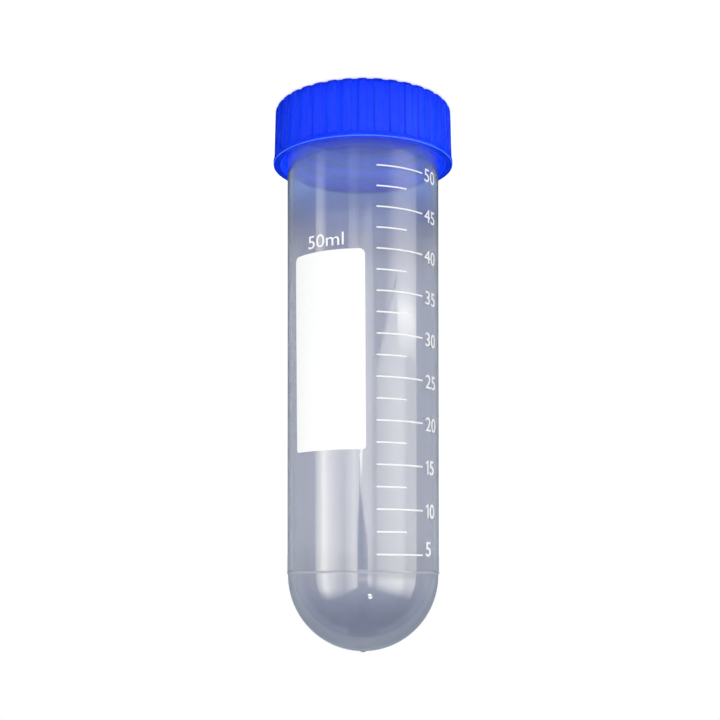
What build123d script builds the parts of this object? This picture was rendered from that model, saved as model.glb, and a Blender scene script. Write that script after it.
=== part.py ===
"""A 50 ml round-bottom centrifuge tube and its screw cap, standing on the cap.

The frame's origin is the centre of the cap's flat top, and +Z runs along the axis to the
tube's round bottom. All sizes are in millimetres.
"""

from build123d import *
import math
import os

# Tube: a drafted wall that widens towards the mouth, and a hemispherical bottom
closed_length = 107.3  # cap's top face to the round bottom, without the gate mark
bottom_radius = 14.28  # outside of the round bottom
seam_step = 0.12  # the straight wall stands this proud of the round bottom
wall_draft = 0.010  # growth of the radius for each millimetre towards the mouth
tube_wall = 1.0
bottom_wall = 2.0  # thickness of the round bottom on the axis
mouth_break = 0.2  # chamfer on the mouth's two edges
gate_radius = 0.6  # the mark of the moulding gate, on the axis
gate_height = 0.2

# Cap: a skirt with grip ribs, a plain flange at its rim and a plug that centres in the mouth
cap_height = 12.0
cap_top_wall = 1.6
cap_top_radius = 17.75  # over the ribs, where the side meets the edge's rounding
cap_rim_radius = 17.9  # over the ribs, where they meet the flange
cap_edge_round = 1.2  # rounding of the edge between the top and the side
flange_radius = 18.05
flange_height = 0.9
flange_break = 0.15
bore_radius = 16.3  # clears the tube's neck and leaves room for both threads
bore_mouth_break = 0.4
plug_radius = 13.9
plug_wall = 0.9
plug_height = 3.0
plug_lead_in = 0.3

# Grip ribs
rib_count = 36
groove_depth = 0.35
groove_floor = 1.2
groove_mouth = 1.6

# Places along the axis that follow from the sizes above
seam_z = closed_length - bottom_radius
cavity_end_z = closed_length - bottom_wall
mouth_z = cap_top_wall
ribs_end_z = cap_height - flange_height


def outer_radius(z):
    """Outside of the tube's drafted wall at height z."""
    return bottom_radius + seam_step + wall_draft * (seam_z - z)


def inner_radius(z):
    """Inside of the tube's drafted wall at height z."""
    return outer_radius(z) - tube_wall


def make_tube():
    """The tube, one moulding, with its mouth down on the cap's inner face."""
    cavity_radius = inner_radius(cavity_end_z) / (1 - wall_draft)
    cavity_centre_z = cavity_end_z - cavity_radius
    lip_z = mouth_z + mouth_break
    with BuildPart() as tube:
        with BuildSketch(Plane.XZ):
            with BuildLine():
                CenterArc((0, seam_z), bottom_radius, 0, 90)
                Line((0, closed_length), (0, cavity_end_z))
                CenterArc((0, cavity_centre_z), cavity_radius, 0, 90)
                Polyline(
                    (cavity_radius, cavity_centre_z),
                    (inner_radius(lip_z), lip_z),
                    (inner_radius(mouth_z) + mouth_break, mouth_z),
                    (outer_radius(mouth_z) - mouth_break, mouth_z),
                    (outer_radius(lip_z), lip_z),
                    (outer_radius(seam_z), seam_z),
                    (bottom_radius, seam_z),
                )
            make_face()
        revolve(axis=Axis.Z)
        with Locations((0, 0, cavity_end_z + bottom_wall / 2)):
            Cylinder(
                gate_radius,
                bottom_wall / 2 + gate_height,
                align=(Align.CENTER, Align.CENTER, Align.MIN),
            )
    return tube.part


def make_cap_blank():
    """The cap before its grip grooves are cut."""
    flange_end_z = cap_height - flange_break
    mouth_edge_z = cap_height - bore_mouth_break
    plug_end_z = cap_top_wall + plug_height
    round_centre = (cap_top_radius - cap_edge_round, cap_edge_round)
    with BuildPart() as blank:
        with BuildSketch(Plane.XZ):
            with BuildLine():
                Line((0, 0), (round_centre[0], 0))
                CenterArc(round_centre, cap_edge_round, -90, 90)
                Polyline(
                    (cap_top_radius, cap_edge_round),
                    (cap_rim_radius, ribs_end_z),
                    (flange_radius, ribs_end_z),
                    (flange_radius, flange_end_z),
                    (flange_radius - flange_break, cap_height),
                    (bore_radius + bore_mouth_break, cap_height),
                    (bore_radius, mouth_edge_z),
                    (bore_radius, cap_top_wall),
                    (plug_radius, cap_top_wall),
                    (plug_radius, plug_end_z - plug_lead_in),
                    (plug_radius - plug_lead_in, plug_end_z),
                    (plug_radius - plug_wall, plug_end_z),
                    (plug_radius - plug_wall, cap_top_wall),
                    (0, cap_top_wall),
                    (0, 0),
                )
            make_face()
        revolve(axis=Axis.Z)
    return blank.part


def make_groove():
    """The channel between two ribs, leaning with the side's draft."""
    reach = 1.0  # how far the cutter stands past its floor and past the cap's top
    flare = (groove_mouth - groove_floor) / (2 * groove_depth)
    half_floor = groove_floor / 2
    half_mouth = half_floor + flare * reach
    section = Polygon(
        (0, -half_floor),
        (reach, -half_mouth),
        (reach, half_mouth),
        (0, half_floor),
        align=None,
    )
    lean = math.degrees(math.atan((cap_rim_radius - cap_top_radius) / ribs_end_z))
    channel = extrude(section, ribs_end_z + reach)
    return Rot(0, lean, 0) * Pos(0, 0, -reach) * channel


def make_cap():
    """The cap, one moulding, with its grip ribs left between the grooves."""
    grooves = PolarLocations(cap_top_radius - groove_depth, rib_count) * make_groove()
    return make_cap_blank() - grooves


os.makedirs("parts", exist_ok=True)
export_step(make_tube(), "parts/tube.step")
export_step(make_cap(), "parts/cap.step")
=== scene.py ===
"""The looks of a 50 ml round-bottom centrifuge tube with its screw cap.

The part stands on its cap: z = 0 is the cap's flat top and +Z runs to the round bottom. The
printed side faces -Y. Places along the tube are written as heights above the round bottom,
and places around it as bearings: degrees from the middle of the printed side, growing
towards -X, which is the reader's right when the cap is held up.
"""

import math

import bmesh
import bpy
from mathutils import Matrix, Vector


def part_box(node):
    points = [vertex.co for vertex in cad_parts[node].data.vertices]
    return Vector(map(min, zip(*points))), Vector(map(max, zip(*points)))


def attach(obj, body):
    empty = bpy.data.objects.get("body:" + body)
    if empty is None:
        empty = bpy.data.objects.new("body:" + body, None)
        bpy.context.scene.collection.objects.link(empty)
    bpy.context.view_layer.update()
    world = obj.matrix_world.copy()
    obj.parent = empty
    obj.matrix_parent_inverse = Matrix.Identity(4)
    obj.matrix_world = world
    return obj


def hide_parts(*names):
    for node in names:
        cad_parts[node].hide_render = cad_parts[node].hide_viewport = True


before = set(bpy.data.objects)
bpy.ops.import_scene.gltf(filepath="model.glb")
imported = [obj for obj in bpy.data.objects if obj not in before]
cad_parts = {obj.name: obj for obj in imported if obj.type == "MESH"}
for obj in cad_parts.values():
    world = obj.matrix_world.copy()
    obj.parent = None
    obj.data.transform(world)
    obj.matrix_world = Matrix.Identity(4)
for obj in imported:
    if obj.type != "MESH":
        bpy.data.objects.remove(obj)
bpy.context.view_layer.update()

MM = 0.001

# Sizes that come from the frame, in millimetres
tube_low, tube_high = (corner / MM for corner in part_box("tube"))
cap_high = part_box("cap")[1] / MM
mouth_z = tube_low.z
rim_z = cap_high.z
flange_radius = cap_high.x - 0.01  # keeps the rounded flange inside the frame's box
mouth_radius = tube_high.x

# The tube
gate_height = 0.2
gate_radius = 0.6
tube_end_z = tube_high.z - gate_height
wall_draft = 0.010
tube_wall = 1.0
bottom_wall = 2.0
bottom_radius = 14.28
seam_height = bottom_radius
seam_bead = 0.1
seam_crest = 0.16  # the bead's crest is this far from the seam
seam_line_z = tube_end_z - seam_height - seam_crest
mouth_round = 0.25
tube_segments = 192

# The cap
cap_top_wall = 1.6
cap_top_radius = 17.75
cap_rim_radius = 17.9
cap_edge_round = 1.2
flange_height = 0.9
bore_radius = 16.3
bore_mouth_break = 0.4
plug_radius = 13.9
plug_wall = 0.9
plug_height = 3.0
rib_count = 36
groove_depth = 0.35
groove_floor = 1.2
groove_mouth = 1.6
groove_bearing = 4.6
ribs_end_z = rim_z - flange_height
plug_end_z = cap_top_wall + plug_height

# The screw thread that the two share
thread_pitch = 3.0
thread_start = 1.15  # from the cap's rim to the helix at bearing 0, towards the mouth
thread_crest = 0.3  # widths along the axis
thread_base = 1.5
tube_thread_height = 0.55
tube_thread_turns = (0.27, 2.75)  # where it begins and ends along the helix
cap_thread_height = 0.75
cap_thread_turns = (0.05, 2.55)
thread_end_z = rim_z + 1.5  # the tube's neck is plain beyond this

# The tent, in metres, and its brightness behind the part by height over its reach
tent_reach = 1.5
tent_back = (0.1, 0.6)  # the band's brightness rises over this distance behind the axis
tent_colour = (0.72, 0.84, 1.0, 1)
tent_levels = [(-0.4, 0.1), (-0.28, 0.16), (-0.1, 0.28), (0.0, 0.34), (0.1, 0.45), (0.7, 0.45)]

# The sheets beside the tube, in millimetres, and their brightness by z
flag_aside = 17.0
flag_front = -10.9
flag_rear = 22.0
flag_top = 160.0
flag_back = (-9.3, -5.6)  # their brightness rises over this stretch of y
flag_levels = [(12, 0.06), (17, 0.12), (21, 0.2), (30, 0.27), (84, 0.34), (104, 0.45)]

# The gap behind the tube, in millimetres: its corners in (x, z) and its distance
slit_corners = [(-0.9, 92.3), (1.5, 92.3), (1.3, 80), (0.4, 71)]
slit_distance = 60
slit_colour = (0.5, 0.62, 0.82, 1)

# The two small lamps for the sparks on the round bottom, in millimetres
glint_places = [(-26.6, -139.7, 175.2), (-26.2, -132.5, 184.6)]
glint_radius = 3.6
glint_stretch = 2.2
glint_level = 14.0

# The soft boxes' colour, and the lamps: places and sizes in metres
card_colour = (1.0, 0.975, 0.84, 1)
key_place = (-0.26, -0.54, 0.16)
key_aim = 0.01
key_size = 0.3
key_level = 8.0
key_colour = (0.5, 0.75, 1.0)
front_place = (0.0, -0.7, 0.45)
front_aim = 0.05
front_size = 0.5
front_level = 1.6
cap_fill_radius = 8.0  # in millimetres, like the next
cap_fill_height = 1.5
cap_fill_level = 1.25

# The print: heights in millimetres, bearings in degrees
ink_proud = 0.03
ink_sunk = 0.02
first_mark = 17.55
mark_step = 4.058  # height of 2.5 ml
mark_count = 19
mark_line = 0.27
mark_left = 9.6
long_mark_right = 48.9
short_mark_right = 33.1
numeral_left = 51.6
numeral_inset = 1.2  # the numerals under 40 start this much further right
numeral_height = 2.6
one_width = 5.4
bold_offset = 0.01  # makes the figures beside a drawn one as heavy as it is
letter_height = 0.69  # of the plain face's capitals, for a size of 1
letter_stretch = 1.15
panel_top = 74.24
panel_bottom = 36.5
panel_left = (-59.4, -57.6)
panel_right = (1.3, 1.9)
panel_corner = 1.1
capacity_left = -43.9
capacity_base = 75.1
capacity_height = 2.5

# The tube's tint by z in millimetres: painted blue light from the cap near the mouth, painted
# shade from the cap just beyond it, and darker across the round bottom
tube_tints_and_painted_light = [
    (9, (0.46, 0.61, 0.90)),
    (11, (0.51, 0.68, 0.95)),
    (14, (0.52, 0.655, 0.92)),
    (18, (0.57, 0.70, 0.93)),
    (20.5, (0.46, 0.545, 0.79)),
    (22, (0.415, 0.47, 0.67)),
    (24.5, (0.435, 0.455, 0.61)),
    (27.5, (0.57, 0.58, 0.68)),
    (30, (0.68, 0.69, 0.75)),
    (37, (0.74, 0.755, 0.84)),
    (48, (0.76, 0.775, 0.85)),
    (92, (0.78, 0.79, 0.86)),
    (96, (0.73, 0.75, 0.85)),
    (99, (0.62, 0.65, 0.77)),
    (102, (0.545, 0.575, 0.69)),
    (105, (0.56, 0.58, 0.70)),
    (107.2, (0.74, 0.755, 0.83)),
]
tint_reach = 110

# Colours and greys follow noise between these two values of it
noise_span = (0.35, 0.65)

# The camera, in millimetres and radians
camera_place = (0.6, -245.0, tube_end_z - 10.5)
camera_tilt = 0.1825
camera_lens = 63.5


# ---------------------------------------------------------------- shapes


def add_object(name, data):
    """A new object in the scene."""
    made = bpy.data.objects.new(name, data)
    bpy.context.scene.collection.objects.link(made)
    return made


def outer_radius(height):
    """Outside of the drafted wall at a height above the round bottom."""
    return mouth_radius - wall_draft * (tube_end_z - mouth_z - height)


def point(radius, bearing, z):
    """A point in metres from a radius and z in millimetres and a bearing in degrees."""
    angle = math.radians(bearing)
    return Vector((-radius * math.sin(angle), -radius * math.cos(angle), z)) * MM


def line(start, end, steps):
    """Points from start up to, but not including, end."""
    return [tuple(a + (b - a) * i / steps for a, b in zip(start, end)) for i in range(steps)]


def arc(centre, radius, start, end, steps):
    """Points of an arc from one angle up to, but not including, the other."""
    angles = [math.radians(start + (end - start) * i / steps) for i in range(steps)]
    return [(centre[0] + radius * math.cos(a), centre[1] + radius * math.sin(a)) for a in angles]


def smoothstep(low, high, value):
    """0 below low, 1 above high, and a smooth rise between."""
    t = min(max((value - low) / (high - low), 0.0), 1.0)
    return t * t * (3 - 2 * t)


def thread_relief(bearing, z, turns, lift):
    """How far the thread stands at a place, from 0 to 1. lift moves it along the axis."""
    along = (rim_z - thread_start + lift - z) / thread_pitch
    turn = round(along - bearing / 360)
    away = abs(along - bearing / 360 - turn) * thread_pitch
    run = turn + bearing / 360
    fade = 0.09
    begun = smoothstep(turns[0], turns[0] + fade, run)
    left = 1 - smoothstep(turns[1] - fade, turns[1], run)
    return begun * left * (1 - smoothstep(thread_crest / 2, thread_base / 2, away))


def turned(name, outline, bearings, relief):
    """A closed mesh turned about the axis. The outline runs from pole to pole in (radius, z)
    millimetres, and relief(bearing, radius, z) is added to each radius."""
    mesh = bpy.data.meshes.new(name)
    shape = bmesh.new()
    rings = []
    for radius, z in outline:
        if radius == 0:
            rings.append([shape.verts.new(point(0, 0, z))] * len(bearings))
        else:
            places = [point(radius + relief(b, radius, z), b, z) for b in bearings]
            rings.append([shape.verts.new(place) for place in places])
    for ring, following in zip(rings, rings[1:]):
        for i in range(len(bearings)):
            j = (i + 1) % len(bearings)
            corners = [ring[i], ring[j], following[j], following[i]]
            shape.faces.new(list(dict.fromkeys(corners)))
    bmesh.ops.recalc_face_normals(shape, faces=shape.faces)
    shape.to_mesh(mesh)
    shape.free()
    mesh.shade_smooth()
    mesh.set_sharp_from_angle(angle=math.radians(32))
    return add_object(name, mesh)


# ---------------------------------------------------------------- tube and cap


def make_tube():
    """The tube, with its thread, seam bead and gate mark."""
    seam_z = tube_end_z - seam_height
    wall_start_z = seam_z - 0.5
    cavity_end_z = tube_end_z - bottom_wall
    wall_radius = outer_radius(seam_height)
    inner_radius = wall_radius - tube_wall - wall_draft * (cavity_end_z - seam_z)
    cavity_radius = inner_radius / (1 - wall_draft)
    cavity_centre_z = cavity_end_z - cavity_radius
    gate_edge = math.degrees(math.acos(gate_radius / bottom_radius))
    lip = outer_radius(tube_end_z - mouth_z)
    inner_lip = lip - tube_wall
    outline = [
        (0, tube_high.z),
        (gate_radius * 0.4, tube_high.z - gate_height * 0.1),
        (gate_radius * 0.75, tube_high.z - gate_height * 0.45),
        (gate_radius, tube_end_z),
    ]
    outline += arc((0, seam_z), bottom_radius, gate_edge - 1.2, 0, 40)
    outline += [
        (bottom_radius, seam_z),
        (wall_radius + seam_bead * 0.6, seam_z - 0.06),
        (wall_radius + seam_bead, seam_line_z),
        (wall_radius + seam_bead * 0.6, seam_z - 0.28),
        (wall_radius + wall_draft * 0.4, seam_z - 0.38),
    ]
    outline += line(
        (outer_radius(tube_end_z - wall_start_z), wall_start_z),
        (outer_radius(tube_end_z - thread_end_z), thread_end_z),
        24,
    )
    outline += line(
        (outer_radius(tube_end_z - thread_end_z), thread_end_z),
        (lip, mouth_z + mouth_round),
        110,
    )
    outline += arc((lip - mouth_round, mouth_z + mouth_round), mouth_round, 0, -90, 4)
    outline += line((lip - mouth_round, mouth_z), (inner_lip + mouth_round, mouth_z), 2)
    outline += arc((inner_lip + mouth_round, mouth_z + mouth_round), mouth_round, -90, -180, 4)
    outline += line((inner_lip, mouth_z + mouth_round), (cavity_radius, cavity_centre_z), 24)
    outline += arc((0, cavity_centre_z), cavity_radius, 0, 90, 36)
    outline += [(0, cavity_end_z)]

    def relief(bearing, radius, z):
        if z > thread_end_z or radius < lip - tube_wall / 2:
            return 0
        return tube_thread_height * thread_relief(bearing, z, tube_thread_turns, 0)

    bearings = [360 * i / tube_segments for i in range(tube_segments)]
    return turned("tube_body", outline, bearings, relief)


def rib_bearings():
    """Bearings, closer at the ribs' flanks, and how deep the groove is at each, from 0 to 1."""
    pitch = 360 / rib_count
    per_mm = 360 / (2 * math.pi * cap_top_radius)
    floor = groove_floor / 2 * per_mm
    mouth = groove_mouth / 2 * per_mm
    soft = (mouth - floor) * 0.35
    half = [
        (0, 1),
        (floor * 0.55, 1),
        (floor - soft, 0.98),
        (floor + soft * 0.6, 0.8),
        (mouth - soft * 0.6, 0.2),
        (mouth + soft, 0.02),
        (pitch / 2 - (pitch / 2 - mouth) * 0.45, 0),
    ]
    steps = [(-b, d) for b, d in reversed(half[1:])] + half + [(pitch / 2, 0)]
    return [(groove_bearing + pitch * k + b, d) for k in range(rib_count) for b, d in steps]


def make_cap():
    """The cap, with its grip ribs, flange, thread and plug."""
    flange_round = 0.15
    inner_round = 0.3  # of the bore's corner and the plug's tip
    rib_fade_z = ribs_end_z - 0.25  # the grooves run out from here to the flange
    plug_inner = plug_radius - plug_wall
    edge = (cap_top_radius - cap_edge_round, cap_edge_round)
    outline = [(0, 0)]
    outline += line((4, 0), edge[:1] + (0,), 5)
    outline += arc(edge, cap_edge_round, -90, 0, 9)
    outline += line((cap_top_radius, cap_edge_round), (cap_rim_radius, rib_fade_z), 6)
    outline += [
        (cap_rim_radius, rib_fade_z),
        (cap_rim_radius, ribs_end_z - 0.08),
        (cap_rim_radius + 0.02, ribs_end_z),
        (flange_radius - 0.04, ribs_end_z + 0.03),
        (flange_radius, ribs_end_z + 0.1),
    ]
    flange_edge = flange_radius - flange_round
    break_edge = bore_radius + bore_mouth_break
    outline += arc((flange_edge, rim_z - flange_round), flange_round, 0, 90, 4)
    outline += line((flange_edge, rim_z), (break_edge, rim_z), 3)
    outline += line((break_edge, rim_z), (bore_radius, rim_z - bore_mouth_break), 2)
    corner = (bore_radius - inner_round, cap_top_wall + inner_round)
    tip_z = plug_end_z - inner_round
    outline += line((bore_radius, rim_z - bore_mouth_break), (bore_radius, corner[1]), 66)
    outline += arc(corner, inner_round, 0, -90, 3)
    outline += line((corner[0], cap_top_wall), (plug_radius, cap_top_wall), 3)
    outline += line((plug_radius, cap_top_wall), (plug_radius, tip_z), 3)
    outline += arc((plug_radius - inner_round, tip_z), inner_round, 0, 90, 3)
    outline += arc((plug_inner + inner_round, tip_z), inner_round, 90, 180, 3)
    outline += line((plug_inner, tip_z), (plug_inner, cap_top_wall), 3)
    outline += line((plug_inner, cap_top_wall), (1.0, cap_top_wall), 4)
    outline += [(1.0, cap_top_wall), (0, cap_top_wall)]
    depths = dict(rib_bearings())

    def relief(bearing, radius, z):
        if plug_radius < radius < bore_radius + 0.05 and cap_top_wall < z < rim_z:
            thread = thread_relief(bearing, z, cap_thread_turns, thread_pitch / 2)
            return -cap_thread_height * thread
        if z < ribs_end_z - 0.01 and radius > cap_top_radius - cap_edge_round - 0.01:
            ends = 1 - smoothstep(rib_fade_z, ribs_end_z - 0.04, z)
            return -groove_depth * depths[bearing] * ends
        return 0

    return turned("cap_body", outline, list(depths), relief)


# ---------------------------------------------------------------- print


def wrap_on_wall(name, flat):
    """Turns a flat bmesh, with x a bearing in degrees and y a height, into ink on the wall."""
    slice_width = 2.0  # in degrees: narrow faces follow the wall
    low = min(v.co.x for v in flat.verts)
    high = max(v.co.x for v in flat.verts)
    for k in range(math.ceil(low / slice_width), math.floor(high / slice_width) + 1):
        bmesh.ops.bisect_plane(
            flat,
            geom=flat.verts[:] + flat.edges[:] + flat.faces[:],
            dist=1e-5,
            plane_co=(k * slice_width, 0, 0),
            plane_no=(1, 0, 0),
        )
    extruded = bmesh.ops.extrude_face_region(flat, geom=flat.faces[:])
    for item in extruded["geom"]:
        if isinstance(item, bmesh.types.BMVert):
            item.co.z = 1
    for vert in flat.verts:
        bearing, height, level = vert.co
        radius = outer_radius(height) + (ink_proud if level > 0.5 else -ink_sunk)
        vert.co = point(radius, bearing, tube_end_z - height)
    bmesh.ops.recalc_face_normals(flat, faces=flat.faces)
    mesh = bpy.data.meshes.new(name)
    flat.to_mesh(mesh)
    flat.free()
    mesh.shade_smooth()
    mesh.set_sharp_from_angle(angle=math.radians(40))
    return add_object(name, mesh)


def add_outline(flat, corners):
    """One flat face from a list of (bearing, height) corners."""
    flat.faces.new([flat.verts.new((x, y, 0)) for x, y in corners])


def add_one(flat, left, base, height):
    """A figure one with a flag, which the plain lettering lacks."""
    bar_left, bar_right = left + 2.3, left + 3.7
    top = base + height
    add_outline(flat, [(bar_left, base), (bar_right, base), (bar_right, top), (bar_left, top)])
    flag = [(left + 0.2, top - 0.28 * height), (bar_left, top - 0.16 * height)]
    flag += [(bar_left, top), (left + 0.2, top - 0.17 * height)]
    add_outline(flat, flag)


def add_text(flat, words, left, base, height, weight=0.0):
    """Plain sans lettering, its left edge at a bearing and its base line at a height. weight
    thickens its strokes."""
    curve = bpy.data.curves.new("lettering", "FONT")
    curve.body = words
    curve.offset = weight
    holder = add_object("lettering", curve)
    graph = bpy.context.evaluated_depsgraph_get()
    mesh = bpy.data.meshes.new_from_object(holder.evaluated_get(graph))
    start = len(flat.verts)
    flat.from_mesh(mesh)
    flat.verts.ensure_lookup_table()
    letters = flat.verts[start:]
    low = min(v.co.x for v in letters)
    scale = height / letter_height
    for vert in letters:
        x = (vert.co.x - low) * scale * letter_stretch
        y = base + vert.co.y * scale
        vert.co = (left + math.degrees(x / outer_radius(y)), y, 0)
    bpy.data.objects.remove(holder)
    bpy.data.curves.remove(curve)
    bpy.data.meshes.remove(mesh)


def make_marks():
    """The scale's lines: a long one every 5 ml and a short one between."""
    flat = bmesh.new()
    for k in range(mark_count):
        middle = first_mark + k * mark_step
        right = long_mark_right if k % 2 == 0 else short_mark_right
        low, high = middle - mark_line / 2, middle + mark_line / 2
        add_outline(flat, [(mark_left, low), (right, low), (right, high), (mark_left, high)])
    return wrap_on_wall("scale_marks", flat)


def make_numerals():
    """The scale's numerals, beside the long lines. The lowest stands on its line."""
    flat = bmesh.new()
    for k in range(0, mark_count, 2):
        volume = 5 + 5 * (k // 2)
        middle = first_mark + k * mark_step
        base = middle - (mark_line / 2 if k == 0 else numeral_height / 2)
        left = numeral_left if volume >= 40 else numeral_left + numeral_inset
        words = str(volume)
        if words[0] == "1":
            add_one(flat, left, base, numeral_height)
            words, left = words[1:], left + one_width
        weight = 0.0 if volume > 15 else bold_offset
        add_text(flat, words, left, base, numeral_height, weight)
    bmesh.ops.remove_doubles(flat, verts=flat.verts, dist=1e-4)
    return wrap_on_wall("scale_numerals", flat)


def make_capacity():
    """The tube's capacity, above the writing panel."""
    flat = bmesh.new()
    add_text(flat, "50ml", capacity_left, capacity_base, capacity_height)
    bmesh.ops.remove_doubles(flat, verts=flat.verts, dist=1e-4)
    return wrap_on_wall("capacity_mark", flat)


def make_panel():
    """The blank writing panel, a rounded rectangle that narrows a little downwards."""
    per_mm = math.degrees(1 / outer_radius(panel_top))
    flat = bmesh.new()
    corners = [
        (panel_right[0], panel_top, 0),
        (panel_left[0], panel_top, 90),
        (panel_left[1], panel_bottom, 180),
        (panel_right[1], panel_bottom, 270),
    ]
    outline = []
    for x, y, start in corners:
        size = panel_corner if y == panel_top else panel_corner * 0.6
        inset_x = -size if start in (0, 270) else size
        inset_y = -size if start in (0, 90) else size
        for across, up in arc((inset_x, inset_y), size, start, start + 100, 10):
            outline.append((x + across * per_mm, y + up))
    add_outline(flat, outline)
    return wrap_on_wall("writing_panel", flat)


# ---------------------------------------------------------------- materials


def new_material(name):
    """A material with its Principled shader."""
    material = bpy.data.materials.new(name)
    material.use_nodes = True
    return material, material.node_tree, material.node_tree.nodes["Principled BSDF"]


def noise(tree, scale, stretch, detail):
    """Noise in the object's own millimetres, drawn out along the axis by stretch."""
    place = tree.nodes.new("ShaderNodeTexCoord")
    mapping = tree.nodes.new("ShaderNodeMapping")
    mapping.inputs["Scale"].default_value = (scale / MM, scale / MM, scale / MM / stretch)
    texture = tree.nodes.new("ShaderNodeTexNoise")
    texture.inputs["Scale"].default_value = 1.0
    texture.inputs["Detail"].default_value = detail
    tree.links.new(place.outputs["Object"], mapping.inputs["Vector"])
    tree.links.new(mapping.outputs["Vector"], texture.inputs["Vector"])
    return texture.outputs["Fac"]


def colour_ramp(tree, factor, stops):
    """A colour ramp from (position, colour) stops."""
    node = tree.nodes.new("ShaderNodeValToRGB")
    tree.links.new(factor, node.inputs["Fac"])
    marks = node.color_ramp.elements
    while len(marks) < len(stops):
        marks.new(0.5)
    for mark, (position, colour) in zip(marks, stops):
        mark.position = position
        mark.color = tuple(colour) + (1,)
    return node.outputs["Color"]


def grey_ramp(tree, factor, stops):
    """A colour ramp from (position, grey level) stops."""
    return colour_ramp(tree, factor, [(position, (v, v, v)) for position, v in stops])


def varied(tree, factor, low, high):
    """A colour that follows noise from one colour to another."""
    return colour_ramp(tree, factor, list(zip(noise_span, (low, high))))


def varied_grey(tree, factor, low, high):
    """A number that follows noise from one value to another."""
    return grey_ramp(tree, factor, list(zip(noise_span, (low, high))))


def add_bump(tree, shader, height, strength, distance):
    """Fine surface relief. distance is in millimetres."""
    bump = tree.nodes.new("ShaderNodeBump")
    bump.inputs["Strength"].default_value = strength
    bump.inputs["Distance"].default_value = distance * MM
    tree.links.new(height, bump.inputs["Height"])
    tree.links.new(bump.outputs["Normal"], shader.inputs["Normal"])


def maths(tree, operation, first, second=None):
    """A math node on a socket and a second socket or number."""
    node = tree.nodes.new("ShaderNodeMath")
    node.operation = operation
    tree.links.new(first, node.inputs[0])
    if isinstance(second, (int, float)):
        node.inputs[1].default_value = second
    elif second:
        tree.links.new(second, node.inputs[1])
    return node.outputs[0]


def remap(tree, factor, start, end, low=0.0, high=1.0):
    """A number that runs from low to high as the factor runs from start to end."""
    node = tree.nodes.new("ShaderNodeMapRange")
    node.inputs["From Min"].default_value = start
    node.inputs["From Max"].default_value = end
    node.inputs["To Min"].default_value = low
    node.inputs["To Max"].default_value = high
    tree.links.new(factor, node.inputs["Value"])
    return node.outputs["Result"]


def place_in(tree, space):
    """X, Y and Z of a place in the piece's own metres ("Object") or its mapping ("UV")."""
    place = tree.nodes.new("ShaderNodeTexCoord")
    split = tree.nodes.new("ShaderNodeSeparateXYZ")
    tree.links.new(place.outputs[space], split.inputs["Vector"])
    return split.outputs["X"], split.outputs["Y"], split.outputs["Z"]


def place_on_axis(tree):
    """The distance from the axis and the height along it, in metres."""
    x, y, z = place_in(tree, "Object")
    squares = maths(tree, "ADD", maths(tree, "POWER", x, 2), maths(tree, "POWER", y, 2))
    return maths(tree, "SQRT", squares), z


def mixed(tree, blend, factor, first, second):
    """Two colours mixed by a factor, which is a number or a socket."""
    node = tree.nodes.new("ShaderNodeMix")
    node.data_type = "RGBA"
    node.blend_type = blend
    if isinstance(factor, (int, float)):
        node.inputs["Factor"].default_value = factor
    else:
        tree.links.new(factor, node.inputs["Factor"])
    tree.links.new(first, node.inputs["A"])
    if isinstance(second, tuple):
        node.inputs["B"].default_value = second
    else:
        tree.links.new(second, node.inputs["B"])
    return node.outputs["Result"]


def tube_plastic():
    """Translucent, faintly blue-grey polypropylene with a glossy skin and slight flow lines,
    paler and milkier where the thread and the seam bead make it thick."""
    material, tree, shader = new_material("translucent_polypropylene")
    radius, z = place_on_axis(tree)
    thread = remap(tree, radius, (mouth_radius + 0.03) * MM, (mouth_radius + 0.25) * MM)
    off_seam = maths(tree, "ABSOLUTE", maths(tree, "SUBTRACT", z, seam_line_z * MM))
    seam = remap(tree, off_seam, 0.3 * MM, 0.12 * MM, 0, 0.32)
    pale = maths(tree, "MAXIMUM", thread, seam)
    milky = maths(tree, "MAXIMUM", maths(tree, "MULTIPLY", thread, 0.15), seam)
    # The tints paint the cap's blue light and its shade onto the wall, so they stay when the tube
    # is lifted
    stops = [(height / tint_reach, colour) for height, colour in tube_tints_and_painted_light]
    tint = colour_ramp(tree, remap(tree, z, 0, tint_reach * MM), stops)
    flow = varied_grey(tree, noise(tree, 0.5, 14, 3), 0.95, 1.0)
    tint = mixed(tree, "MULTIPLY", 1.0, tint, flow)
    tint = mixed(tree, "MIX", pale, tint, (0.95, 0.97, 1.0, 1))
    tree.links.new(tint, shader.inputs["Base Color"])
    clear = remap(tree, milky, 0, 1, 0.84, 0.15)
    tree.links.new(clear, shader.inputs["Transmission Weight"])
    volume = tree.nodes.new("ShaderNodeVolumeAbsorption")
    volume.inputs["Color"].default_value = (0.0, 0.1, 0.25, 1)
    volume.inputs["Density"].default_value = 150.0
    tree.links.new(volume.outputs[0], tree.nodes["Material Output"].inputs["Volume"])
    haze = varied_grey(tree, noise(tree, 0.25, 4, 2), 0.06, 0.10)
    tree.links.new(haze, shader.inputs["Roughness"])
    shader.inputs["IOR"].default_value = 1.49
    shader.inputs["Specular IOR Level"].default_value = 0.5
    shader.inputs["Coat Weight"].default_value = 1.0
    shader.inputs["Coat Roughness"].default_value = 0.06
    return material


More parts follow.
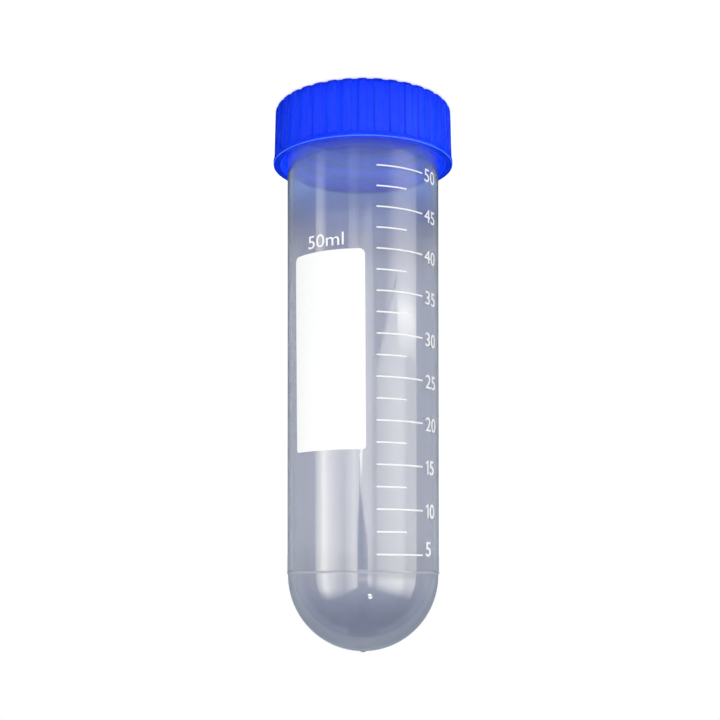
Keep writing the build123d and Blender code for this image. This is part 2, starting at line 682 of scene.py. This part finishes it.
def cap_plastic():
    """Vivid blue moulded polypropylene with a satin surface. A painted highlight makes the thin
    edge of the flange paler, for the light that comes through it. Painted shade darkens the
    ribs' flanks, the inside, the rim's face and the part near the flat top."""
    material, tree, shader = new_material("blue_polypropylene")
    radius, z = place_on_axis(tree)
    tint = varied(tree, noise(tree, 0.12, 1, 3), (0.0055, 0.044, 0.88), (0.0065, 0.052, 0.93))
    # Painted highlight: the flange's thin outer edge is paler, for the light that glints on it
    # and comes through it
    outer = remap(tree, radius, (flange_radius - 0.18) * MM, (flange_radius - 0.10) * MM)
    rim = remap(tree, z, (rim_z - 0.18) * MM, (rim_z - 0.10) * MM)
    edge = maths(tree, "MULTIPLY", outer, rim)
    # Painted shade on the ribs' flanks, deep in the grooves; the same mask also makes them
    # rougher
    side = (cap_top_radius - groove_depth / 2) * MM
    lean = maths(tree, "MULTIPLY", z, (cap_rim_radius - cap_top_radius) / ribs_end_z)
    off_flank = maths(tree, "SUBTRACT", maths(tree, "SUBTRACT", radius, lean), side)
    off_flank = maths(tree, "ABSOLUTE", off_flank)
    flank = remap(tree, off_flank, groove_depth * 0.47 * MM, groove_depth * 0.35 * MM, 0, 0.6)
    # Painted shade on the deep inside of the cap
    inside = remap(tree, radius, (bore_radius - 0.5) * MM, (bore_radius - 1.0) * MM)
    deep = remap(tree, z, (plug_end_z + 0.3) * MM, (plug_end_z + 0.1) * MM)
    # Painted shade on the rim's face, the flange's underside
    under = remap(tree, z, (rim_z - 0.5) * MM, (rim_z - 0.3) * MM, 0, 0.4)
    face = remap(tree, radius, (bore_radius + 0.3) * MM, (bore_radius + 0.5) * MM)
    under = maths(tree, "MULTIPLY", under, face)
    # Painted shade near the flat top
    low = remap(tree, z, 4.0 * MM, 0.8 * MM, 0, 0.3)
    shade = maths(tree, "MAXIMUM", flank, maths(tree, "MULTIPLY", inside, deep))
    shade = maths(tree, "MAXIMUM", shade, maths(tree, "MAXIMUM", under, low))
    # All the painted shade darkens the colour towards this blue-grey
    tint = mixed(tree, "MULTIPLY", shade, tint, (0.25, 0.3, 0.45, 1))
    # The flange edge's painted highlight
    tint = mixed(tree, "MIX", edge, tint, (0.07, 0.185, 0.96, 1))
    tree.links.new(tint, shader.inputs["Base Color"])
    gloss = varied_grey(tree, noise(tree, 1.5, 1, 4), 0.36, 0.46)
    gloss = maths(tree, "MAXIMUM", gloss, flank)
    tree.links.new(gloss, shader.inputs["Roughness"])
    shader.inputs["IOR"].default_value = 1.49
    shader.inputs["Specular IOR Level"].default_value = 0.4
    shader.inputs["Subsurface Weight"].default_value = 1.0
    shader.inputs["Subsurface Radius"].default_value = (0.1, 0.3, 1.0)
    shader.inputs["Subsurface Scale"].default_value = 0.3 * MM
    add_bump(tree, shader, noise(tree, 6.0, 1, 3), 0.12, 0.02)
    return material


def white_ink():
    """Opaque white screen-printing ink, a little uneven."""
    material, tree, shader = new_material("white_ink")
    grain = noise(tree, 1.2, 1, 4)
    tint = varied(tree, grain, (0.955, 0.96, 0.965), (0.975, 0.98, 0.985))
    tree.links.new(tint, shader.inputs["Base Color"])
    shader.inputs["Roughness"].default_value = 0.55
    shader.inputs["Specular IOR Level"].default_value = 0.3
    add_bump(tree, shader, grain, 0.1, 0.005)
    return material


def seen(tree):
    """1 for rays that look at the background, straight, mirrored or through the tube."""
    path = tree.nodes.new("ShaderNodeLightPath").outputs
    straight_or_mirrored = maths(tree, "MAXIMUM", path["Is Camera Ray"], path["Is Glossy Ray"])
    return maths(tree, "MAXIMUM", straight_or_mirrored, path["Is Transmission Ray"])


def floor_white():
    """A white floor that keeps the part's shadow and meets a white background."""
    material, tree, shader = new_material("floor_white")
    shader.inputs["Base Color"].default_value = (0.75, 0.75, 0.75, 1)
    shader.inputs["Roughness"].default_value = 0.9
    shader.inputs["Specular IOR Level"].default_value = 0.0
    shader.inputs["Emission Color"].default_value = (1, 1, 1, 1)
    glow = maths(tree, "MULTIPLY", seen(tree), 0.55)
    tree.links.new(glow, shader.inputs["Emission Strength"])
    return material


def new_glow(name, colour, strength=1.0):
    """A material that only shines, with its node tree and its Emission shader."""
    material = bpy.data.materials.new(name)
    material.use_nodes = True
    tree = material.node_tree
    tree.nodes.clear()
    glow = tree.nodes.new("ShaderNodeEmission")
    glow.inputs["Color"].default_value = colour
    glow.inputs["Strength"].default_value = strength
    out = tree.nodes.new("ShaderNodeOutputMaterial")
    tree.links.new(glow.outputs[0], out.inputs["Surface"])
    material.cycles.emission_sampling = "NONE"
    return material, tree, glow


# ---------------------------------------------------------------- stage


def add_stage(name, corners, material):
    """A flat, four-cornered piece of the studio."""
    mesh = bpy.data.meshes.new(name)
    mesh.from_pydata(corners, [], [(0, 1, 2, 3)])
    mesh.materials.append(material)
    sheet = add_object(name, mesh)
    return sheet


def add_ball(name, radius, subdivisions):
    """A round, closed mesh."""
    mesh = bpy.data.meshes.new(name)
    ball = bmesh.new()
    bmesh.ops.create_icosphere(ball, subdivisions=subdivisions, radius=radius)
    ball.to_mesh(mesh)
    ball.free()
    return add_object(name, mesh)


def mirror_only(sheet):
    """Leaves a sheet to be seen in reflections alone."""
    sheet.visible_camera = False
    sheet.visible_diffuse = False
    sheet.visible_transmission = False
    sheet.visible_shadow = False


def make_floor():
    """A wide floor under the cap."""
    reach = 3.0
    corners = [(-reach, -reach, 0), (reach, -reach, 0), (reach, reach, 0), (-reach, reach, 0)]
    floor = add_stage("floor", corners, floor_white())
    floor.visible_glossy = False


def make_world():
    """A plain white world, which is also the backdrop."""
    world = bpy.data.worlds.new("studio")
    bpy.context.scene.world = world
    world.use_nodes = True
    background = world.node_tree.nodes["Background"]
    background.inputs["Color"].default_value = (1, 1, 1, 1)
    background.inputs["Strength"].default_value = 1.0


def gather(name, pieces):
    """A collection of pieces, for light that falls on those pieces only."""
    group = bpy.data.collections.new(name)
    for piece in pieces:
        group.objects.link(piece)
    return group


def make_tent(tube_alone):
    """A tent that only mirrors show: black, so that the gloss carries the soft boxes alone,
    but for a grey band behind the part, which softens the tube's outline."""
    material, tree, glow = new_glow("tent", tent_colour)
    _, y, z = place_in(tree, "Object")
    back = remap(tree, y, *tent_back)
    band = remap(tree, z, -tent_reach, tent_reach)
    level = grey_ramp(tree, band, [((height + 1) / 2, v) for height, v in tent_levels])
    tree.links.new(maths(tree, "MULTIPLY", back, level), glow.inputs["Strength"])
    tent = add_ball("tent", tent_reach, 4)
    tent.data.shade_smooth()
    tent.data.materials.append(material)
    mirror_only(tent)
    tent.light_linking.receiver_collection = tube_alone


def mirrored(bearing):
    """Where on the wall a bearing is, and which way the camera sees from there by mirror."""
    place = point(outer_radius(seam_height), bearing, 0).xy
    view = (place - Vector(camera_place[:2]) * MM).normalized()
    return place, view.reflect(place.normalized())


def card_glow(name, across, rise, strength, lean, lean_from):
    """Light of a soft box, which changes across it and up it as its stops say. Above
    lean_from, lean brings the stops up it down on its inner side."""
    material, tree, glow = new_glow(name, card_colour)
    x, y, _ = place_in(tree, "UV")
    over = maths(tree, "MAXIMUM", maths(tree, "SUBTRACT", y, lean_from), 0)
    over = maths(tree, "MULTIPLY", over, remap(tree, x, 0, 1, lean, 0))
    height = maths(tree, "ADD", over, y)
    level = maths(tree, "MULTIPLY", grey_ramp(tree, x, across), grey_ramp(tree, height, rise))
    level = maths(tree, "MULTIPLY", level, strength)
    tree.links.new(level, glow.inputs["Strength"])
    return material


def make_card(name, outline, profile, rise, distance, strength, lean=0, lean_from=0):
    """An upright soft box at a distance in metres. Its outline is in (bearing, z) and its
    profile and rise are light levels by bearing and by z: a bearing stands for the place that
    the wall mirrors there."""
    bearings = [b for b, z in outline]
    heights = [z for b, z in outline]
    ends = []
    for bearing in (min(bearings), max(bearings)):
        start, heading = mirrored(bearing)
        ends.append(start + heading * distance)
    side = ends[1] - ends[0]

    def across(bearing):
        start, heading = mirrored(bearing)
        gap = ends[0] - start
        reach = (gap.x * side.y - gap.y * side.x) / (heading.x * side.y - heading.y * side.x)
        return (start + heading * reach - ends[0]).dot(side) / side.dot(side)

    def up(z):
        return (z - min(heights)) / (max(heights) - min(heights))

    glow = card_glow(
        name,
        [(across(b), v) for b, v in profile],
        [(up(z), v) for z, v in rise],
        strength,
        lean,
        up(lean_from),
    )
    mesh = bpy.data.meshes.new(name)
    spots = [ends[0] + side * across(b) for b in bearings]
    corners = [(spot.x, spot.y, z * MM) for spot, z in zip(spots, heights)]
    mesh.from_pydata(corners, [], [range(len(outline))])
    layer = mesh.uv_layers.new(name="place")
    for loop in mesh.loops:
        bearing, z = outline[loop.vertex_index]
        layer.data[loop.index].uv = (across(bearing), up(z))
    mesh.materials.append(glow)
    card = add_object(name, mesh)
    mirror_only(card)


def make_cards():
    """Two soft boxes either side of the camera, whose images run down the tube, two small
    ones for the light between them, and a strip beside each large one for its outer edge."""
    outline = [(-2.6, -60), (4.5, -60), (8.5, 30), (10.7, 32), (26, 8), (46, 8), (46, 215)]
    outline += [(3.2, 215), (3.2, 84), (-2.6, 64)]
    profile = [(-2.6, 0.74), (2, 0.74), (5, 0.6), (6.5, 0.42), (8, 0.24), (9.5, 0.3), (11, 0.6)]
    profile += [(16.5, 0.7), (20, 0.82), (26, 0.98), (29, 0.92), (31, 0.75), (33, 0.57)]
    profile += [(41.8, 0.52), (43, 0.0)]
    rise = [(-60, 0.0), (-30, 0.02), (-24, 0.06), (-17, 0.27), (0, 0.44), (40, 0.59)]
    rise += [(103, 0.59), (114, 0.95), (125, 1.0), (138, 0.95), (160, 0.78), (195, 0.28)]
    rise += [(215, 0.0)]
    make_card(
        "card_right", outline, profile, rise, distance=0.20, strength=5.8, lean=1.5, lean_from=112
    )

    outline = [(-38, 30), (-10.5, 30), (-10.5, -60), (-2.8, -60), (-2.8, 64), (-4.2, 82)]
    outline += [(-4.2, 165), (-38, 245)]
    profile = [(-37.5, 0.0), (-36.5, 0.3), (-33, 0.62), (-30.5, 0.95), (-29, 1.0), (-26, 0.76)]
    profile += [(-23, 0.58), (-18.6, 0.41), (-14, 0.26), (-9.5, 0.48), (-6.5, 0.65)]
    profile += [(-3.6, 0.5)]
    rise = [(-60, 0.0), (-45, 0.1), (-31, 0.15), (-23, 0.3), (-17, 0.53), (0, 0.75), (40, 1.0)]
    rise += [(155, 1.0), (215, 0.0)]
    make_card("card_left", outline, profile, rise, distance=0.20, strength=5.4)

    outline = [(-4.1, 102), (3.1, 102), (3.1, 146), (-4.1, 146)]
    profile = [(-4.1, 0.9), (0, 0.8), (3.1, 1.0)]
    rise = [(102, 0.0), (110, 0.7), (124, 1.0), (146, 0.0)]
    make_card("card_gap", outline, profile, rise, distance=0.20, strength=1.3)

    outline = [(-2.9, 52.5), (-0.2, 52.5), (-0.6, 66), (-2.2, 66)]
    profile = [(-2.9, 0.4), (-2.2, 1.0), (-1.0, 1.0), (-0.2, 0.4)]
    rise = [(53, 1.0), (60, 0.9), (66, 0.25)]
    make_card("card_slit", outline, profile, rise, distance=0.16, strength=7.0)

    outline = [(-37, -55), (-26, -55), (-26, 30), (-37, 30)]
    profile = [(-37, 0.0), (-36.2, 0.7), (-33, 1.0), (-30, 0.65), (-27.5, 0.1), (-26.5, 0.0)]
    rise = [(-55, 0.0), (-46, 0.35), (-42, 0.4), (-39, 0.65), (-30, 0.8), (-27, 1.0), (30, 1.0)]
    make_card("strip_left", outline, profile, rise, distance=0.195, strength=2.8)

    outline = [(16, -24), (43, -24), (43, 36), (25.5, 36), (25, 14), (16, 26)]
    profile = [(16, 0.0), (20, 0.4), (23, 0.72), (27, 1.0), (33, 1.0), (38, 0.86), (41.5, 0.66)]
    profile += [(42.8, 0.0)]
    rise = [(-24, 0.0), (-20, 0.15), (-17, 0.2), (-11, 0.21), (-5, 0.33), (4, 0.33), (10, 0.42)]
    rise += [(13, 0.45), (17.5, 0.5), (21, 0.72), (24, 0.97), (26, 1.0), (30, 0.82), (36, 0.55)]
    make_card("strip_right", outline, profile, rise, distance=0.11, strength=6.0)


def make_flags(tube_alone):
    """A sheet close to either side of the tube, for mirrors only. It keeps the soft boxes out
    of the tube's sides and back, and glows as the tent does behind it."""
    material, tree, glow = new_glow("flag", tent_colour)
    _, y, z = place_in(tree, "Object")
    back = remap(tree, y, flag_back[0] * MM, flag_back[1] * MM)
    rise = remap(tree, z, 0, flag_top * MM)
    level = grey_ramp(tree, rise, [(height / flag_top, v) for height, v in flag_levels])
    tree.links.new(maths(tree, "MULTIPLY", back, level), glow.inputs["Strength"])
    low = rim_z + 0.5
    ends = [(flag_front, low), (flag_rear, low), (flag_rear, flag_top), (flag_front, flag_top)]
    for side in (-flag_aside, flag_aside):
        corners = [(side * MM, depth * MM, height * MM) for depth, height in ends]
        sheet = add_stage("flag", corners, material)
        mirror_only(sheet)
        sheet.light_linking.receiver_collection = tube_alone


def make_backdrop_slit():
    """A narrow grey-blue gap in the white behind the tube, seen through its lower end."""
    material, _, _ = new_glow("slit", slit_colour)
    corners = [(x * MM, slit_distance * MM, z * MM) for x, z in slit_corners]
    sheet = add_stage("slit", corners, material)
    sheet.visible_camera = False
    sheet.visible_diffuse = False
    sheet.visible_glossy = False
    sheet.visible_shadow = False


def make_glints():
    """Two small lamps over the camera that show as sparks on the round bottom."""
    material, _, _ = new_glow("glint", (1, 1, 1, 1), glint_level)
    for number, place in enumerate(glint_places):
        glint = add_ball(f"glint_{number}", glint_radius * MM, 3)
        glint.data.materials.append(material)
        glint.location = Vector(place) * MM
        glint.scale.x = glint_stretch
        mirror_only(glint)


def add_lamp_box(name, place, aim, size, level):
    """A square lamp at a place, facing a height on the axis, for surfaces and not for sight."""
    data = bpy.data.lights.new(name, "AREA")
    data.shape = "SQUARE"
    data.size = size
    data.energy = level * math.pi * data.size**2
    lamp = add_object(name, data)
    lamp.location = place
    lamp.rotation_mode = "QUATERNION"
    lamp.rotation_quaternion = (Vector((0, 0, aim)) - lamp.location).to_track_quat("-Z", "Y")
    lamp.visible_camera = False
    lamp.visible_transmission = False
    return lamp


def make_key(cap_alone):
    """A soft box on the reader's right that models the cap and its ribs. It lights the cap
    alone."""
    lamp = add_lamp_box("key", key_place, key_aim, key_size, key_level)
    lamp.data.color = key_colour
    lamp.light_linking.receiver_collection = cap_alone


def make_front_light():
    """A plain soft box over the camera, for the print."""
    lamp = add_lamp_box("front", front_place, front_aim, front_size, front_level)
    lamp.visible_glossy = False


def make_cap_fill(cap_alone, part):
    """A small soft box in the tube's mouth, for the light that a real cap's thin walls let
    in. It lights the tube and the cap alone, and only the cap can shade it."""
    data = bpy.data.lights.new("cap_fill", "POINT")
    data.shadow_soft_size = cap_fill_radius * MM
    data.energy = cap_fill_level * 4 * (math.pi * bore_radius * MM) ** 2
    lamp = add_object("cap_fill", data)
    lamp.location = point(0, 0, rim_z + cap_fill_height)
    lamp.visible_camera = False
    lamp.visible_glossy = False
    lamp.visible_transmission = False
    lamp.light_linking.receiver_collection = part
    lamp.light_linking.blocker_collection = cap_alone


def make_camera():
    """Level with the round bottom and tilted to the cap, turned so that the cap is up."""
    data = bpy.data.cameras.new("camera")
    data.sensor_width = 36
    data.lens = camera_lens
    data.clip_start = 0.01
    data.clip_end = 20
    camera = add_object("camera", data)
    forward = Vector((0, math.cos(camera_tilt), -math.sin(camera_tilt)))
    up = Vector((0, -math.sin(camera_tilt), -math.cos(camera_tilt)))
    right = forward.cross(up)
    turn = Matrix((right, up, -forward)).transposed()
    camera.matrix_world = Matrix.Translation(Vector(camera_place) * MM) @ turn.to_4x4()
    bpy.context.scene.camera = camera


def finish_piece(piece, body, material, node=None):
    """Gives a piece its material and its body."""
    piece.data.materials.append(material)
    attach(piece, body)
    if node:
        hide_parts(node)


ink = white_ink()
tube = make_tube()
finish_piece(tube, "tube", tube_plastic(), "tube")
cap = make_cap()
finish_piece(cap, "cap", cap_plastic(), "cap")
for made in (make_marks(), make_numerals(), make_capacity(), make_panel()):
    finish_piece(made, "tube", ink)

make_floor()
make_world()
tube_alone = gather("tube_alone", [tube])
make_tent(tube_alone)
make_flags(tube_alone)
make_backdrop_slit()
make_cards()
make_glints()
cap_alone = gather("cap_alone", [cap])
make_key(cap_alone)
make_cap_fill(cap_alone, gather("part", [tube, cap]))
make_front_light()
make_camera()
bpy.context.scene.view_settings.view_transform = "Standard"
